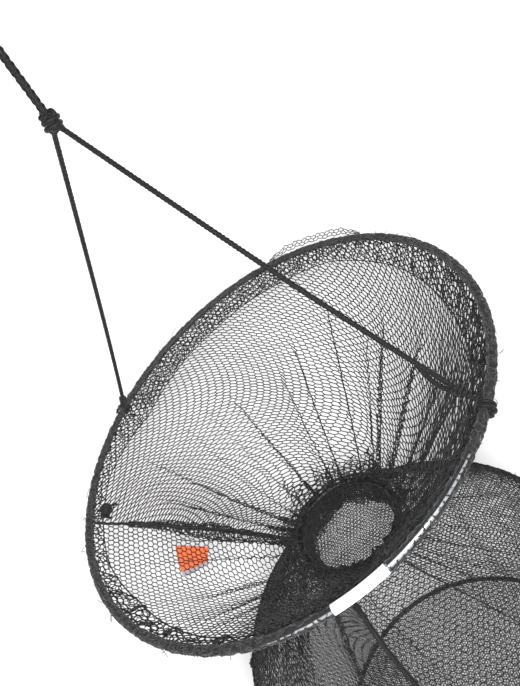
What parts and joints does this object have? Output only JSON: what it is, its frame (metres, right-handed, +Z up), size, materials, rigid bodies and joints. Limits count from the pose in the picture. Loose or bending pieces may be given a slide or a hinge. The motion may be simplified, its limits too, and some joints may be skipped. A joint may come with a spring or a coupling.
{
  "type": "folding crab trap",
  "caption": "Hanging net trap that folds flat: wire hoops joined by netting, a funnel mouth with a narrow throat, a catch chamber, and a two-leg rope bridle with an eye.",
  "frame": {"origin": "the point inside the top of the rope's eye where a hook bears; the trap hangs below it", "axes": "+Z up along the rope, X through the two bridle ties, the mouth hoop's +Y side hangs high"},
  "size_m": [0.3328, 0.3285, 0.8499],
  "materials": {
    "rope_black": "matte braided rope",
    "cord_black": "matte braided cord",
    "coated_wire": "glossy pale grey coating",
    "ferrule_white": "satin white",
    "thread_black": "matte thread",
    "net_black": "matte knitted net",
    "tag_orange": "woven cloth tag"
  },
  "bodies": {
    "hoist": {"hoist_rope": "rope_black", "rope_eye": "rope_black", "rope_eye_knot": "rope_black", "main_knot": "rope_black", "bridle_leg_left": "cord_black", "bridle_leg_right": "cord_black", "leg_knot_left": "cord_black", "leg_knot_right": "cord_black"},
    "mouth": {"mouth_hoop_wire": "coated_wire", "mouth_hoop_ferrule": "ferrule_white", "mouth_hoop_sleeve": "net_black", "mouth_hoop_lashing": "thread_black", "hoop_hitch_left": "cord_black", "hoop_hitch_right": "cord_black", "mouth_hem": "net_black", "funnel_net": "net_black", "funnel_seam": "net_black", "funnel_seam_tie": "thread_black", "tag": "tag_orange"},
    "throat": {"throat_ring": "coated_wire", "throat_hem": "net_black", "throat_lacing": "thread_black", "throat_collar": "net_black"},
    "neck": {"neck_cord": "thread_black", "shoulder_net": "net_black", "shoulder_seam": "net_black"},
    "shoulder": {"shoulder_hoop_wire": "coated_wire", "shoulder_hoop_ferrule": "ferrule_white", "shoulder_hoop_sleeve": "net_black", "shoulder_hoop_lashing": "thread_black", "shoulder_tie": "thread_black", "shoulder_hem": "net_black", "chamber_net": "net_black", "chamber_seam": "net_black"},
    "base": {"base_hoop_wire": "coated_wire", "base_hoop_ferrule": "ferrule_white", "base_hoop_sleeve": "net_black", "base_hoop_lashing": "thread_black", "base_net": "net_black"}
  },
  "joints": [
    {"name": "mouth_swing", "type": "hinge", "parent": "hoist", "child": "mouth", "pos_m": [0, 0, -0.34873], "axis": [1, 0, 0], "range_deg": [-50, 50]},
    {"name": "funnel_fold", "type": "slide", "parent": "mouth", "child": "throat", "axis": [0, 0, 1], "range_m": [0, 0.14], "deforming": ["funnel_net", "funnel_seam", "tag", "mouth_hem", "funnel_seam_tie"]},
    {"name": "neck_tilt", "type": "hinge", "parent": "throat", "child": "neck", "pos_m": [0, 0, -0.48873], "axis": [1, 0, 0], "range_deg": [0, 9.32]},
    {"name": "shoulder_fold", "type": "slide", "parent": "neck", "child": "shoulder", "axis": [0, 0, 1], "range_m": [0, 0.109], "deforming": ["shoulder_net", "shoulder_seam", "shoulder_hem"]},
    {"name": "chamber_fold", "type": "slide", "parent": "shoulder", "child": "base", "axis": [0, 0, 1], "range_m": [0, 0.213], "deforming": ["chamber_net", "chamber_seam"]}
  ],
  "couplings": [
    {"joint": "neck_tilt", "follows": "funnel_fold", "rad_per_m": 1.1594}
  ]
}
